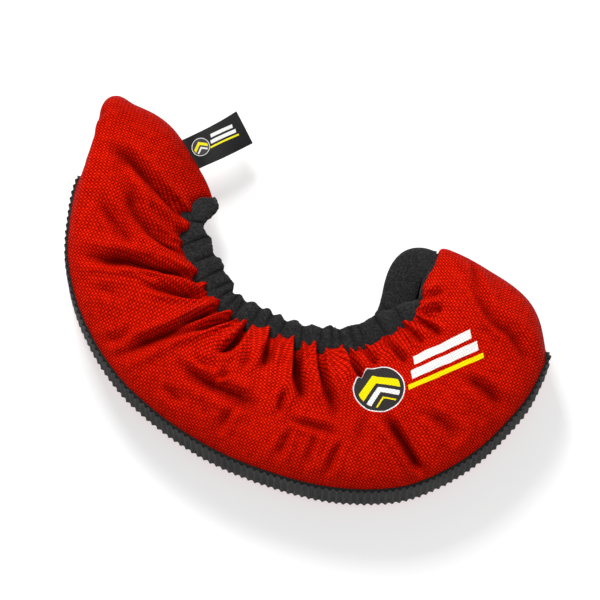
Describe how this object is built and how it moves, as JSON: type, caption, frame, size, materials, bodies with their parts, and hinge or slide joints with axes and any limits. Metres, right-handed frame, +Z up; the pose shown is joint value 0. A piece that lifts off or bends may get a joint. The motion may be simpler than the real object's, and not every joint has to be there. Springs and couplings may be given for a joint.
{
  "type": "skate blade guard",
  "caption": "Soft fabric sleeve for a skate blade: two gathered side panels on a curved ribbed walking strip, with an elastic-gathered padded rim and a seam label.",
  "frame": {"origin": "centre of the bounding box in plan, on the surface that the guard lies on with its lower side panel", "axes": "+X from the heel end to the toe end, +Y from the sole towards the open rim, +Z up out of the upper side panel"},
  "size_m": [0.2018, 0.1714, 0.042],
  "materials": {
    "red_nylon": "coarse basket-weave nylon, slight sheen",
    "ribbed_rubber": "matte ribbed walking strip",
    "terry": "soft black terry knit",
    "stiffener": "flexible polyethylene sheet",
    "elastic": "braided elastic tape",
    "seam_tape": "woven binding tape",
    "woven_label": "smooth woven label"
  },
  "bodies": {
    "mid": {"walking_strip_mid": "ribbed_rubber", "sole_insert_mid": "stiffener", "sole_lining_mid": "terry", "outer_near_mid": "red_nylon", "outer_far_mid": "red_nylon", "lining_near_mid": "terry", "lining_far_mid": "terry", "rim_binding_near_mid": "terry", "rim_binding_far_mid": "terry", "rim_elastic_near_mid": "elastic", "rim_elastic_far_mid": "elastic"},
    "heel": {"walking_strip_heel": "ribbed_rubber", "sole_insert_heel": "stiffener", "sole_lining_heel": "terry", "outer_near_heel": "red_nylon", "outer_far_heel": "red_nylon", "lining_near_heel": "terry", "lining_far_heel": "terry", "rim_binding_near_heel": "terry", "rim_binding_far_heel": "terry", "rim_elastic_near_heel": "elastic", "rim_elastic_far_heel": "elastic", "heel_seam_tape": "seam_tape"},
    "toe": {"walking_strip_toe": "ribbed_rubber", "sole_insert_toe": "stiffener", "sole_lining_toe": "terry", "outer_near_toe": "red_nylon", "outer_far_toe": "red_nylon", "lining_near_toe": "terry", "lining_far_toe": "terry", "rim_binding_near_toe": "terry", "rim_binding_far_toe": "terry", "rim_elastic_near_toe": "elastic", "rim_elastic_far_toe": "elastic", "toe_seam_tape": "seam_tape"},
    "tag": {"label_tag": "woven_label"}
  },
  "joints": [
    {"name": "heel_fold", "type": "hinge", "parent": "mid", "child": "heel", "pos_m": [-0.0814, -0.0335, 0.02], "axis": [0, 0, 1], "range_deg": [0, 50], "stiffness_Nm_per_rad": 0.4},
    {"name": "toe_fold", "type": "hinge", "parent": "mid", "child": "toe", "pos_m": [0.0315, -0.0849, 0.02], "axis": [0, 0, -1], "range_deg": [0, 50], "stiffness_Nm_per_rad": 0.4},
    {"name": "label_flap", "type": "hinge", "parent": "heel", "child": "tag", "pos_m": [-0.048, 0.0636, 0.02], "axis": [0.4617, -0.887, 0], "range_deg": [-45, 70], "stiffness_Nm_per_rad": 0.005}
  ]
}
